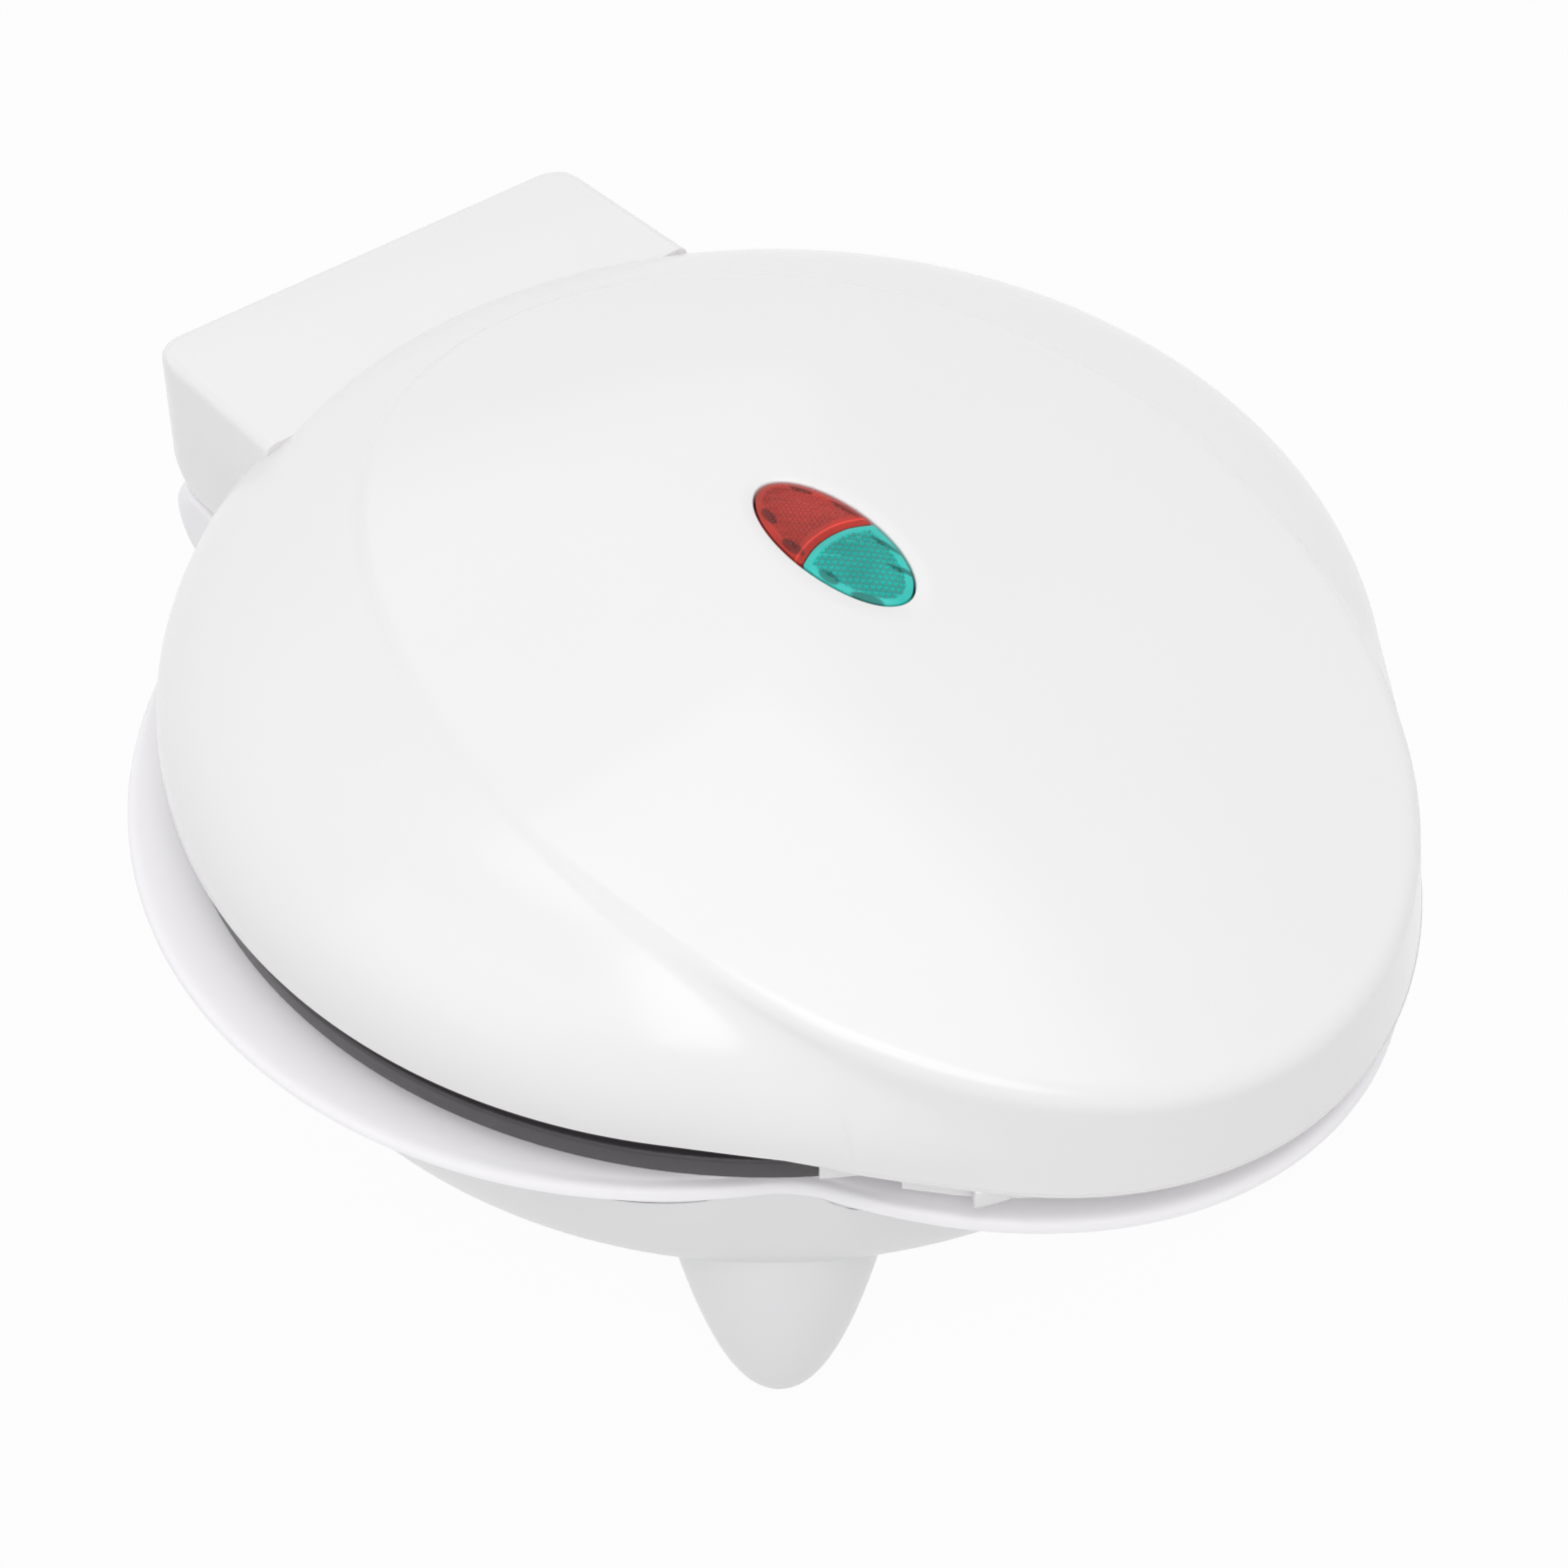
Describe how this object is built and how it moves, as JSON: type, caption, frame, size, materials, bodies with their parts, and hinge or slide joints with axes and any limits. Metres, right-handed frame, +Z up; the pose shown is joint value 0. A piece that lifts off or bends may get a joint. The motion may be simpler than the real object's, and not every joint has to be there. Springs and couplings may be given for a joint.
{
  "type": "donut maker",
  "caption": "Round electric ring-cake maker with a hinged lid, cast plates of ring cavities, a fin-like handle, a drip tray and four tapered feet.",
  "frame": {"origin": "middle of the footprint, on the surface that the foot pads stand on", "axes": "+Z up, +Y from the handle towards the hinge, +X along the hinge line"},
  "size_m": [0.241, 0.275, 0.1218],
  "materials": {
    "white_shell": "glossy white",
    "white_frame": "satin white",
    "white_tray": "glossy white",
    "white_bowl": "glossy white",
    "coated_plate": "dark non-stick coating",
    "heater_tube": "oxidised steel tube",
    "tinned_sheet": "plain sheet",
    "screw_steel": "plated",
    "ceramic": "matt",
    "lead_copper": "bare",
    "pad_rubber": "matt",
    "bush_rubber": "matt",
    "red_lens": "clear red, patterned inside",
    "green_lens": "clear green, patterned inside",
    "red_lamp": "clear",
    "green_lamp": "clear"
  },
  "bodies": {
    "base": {"base_tray": "white_tray", "base_bowl": "white_bowl", "foot_pads": "pad_rubber", "bottom_screws": "screw_steel", "lower_plate": "coated_plate", "lower_heater": "heater_tube", "lower_heater_clamp": "tinned_sheet", "lower_clamp_screw": "screw_steel", "lower_heat_shield": "tinned_sheet", "lower_plate_screws": "screw_steel", "lower_thermostat": "ceramic", "thermal_fuse": "ceramic", "terminal_block": "ceramic", "terminal_screws": "screw_steel", "heater_leads": "lead_copper", "cord_bush": "bush_rubber"},
    "lid": {"lid_shell": "white_shell", "lid_frame": "white_frame", "lid_screws": "screw_steel", "upper_plate": "coated_plate", "upper_heater": "heater_tube", "upper_heater_clamp": "tinned_sheet", "upper_clamp_screw": "screw_steel", "upper_heat_shield": "tinned_sheet", "upper_plate_screws": "screw_steel", "upper_thermostat": "ceramic", "lens_red": "red_lens", "lens_green": "green_lens", "lamp_carrier": "white_frame", "lamp_carrier_screws": "screw_steel", "red_lamp": "red_lamp", "green_lamp": "green_lamp", "hinge_pins": "screw_steel"}
  },
  "joints": [
    {"name": "lid_hinge", "type": "hinge", "parent": "base", "child": "lid", "pos_m": [0, 0.12435, 0.0765], "axis": [-1, 0, 0], "range_deg": [0, 100]}
  ]
}
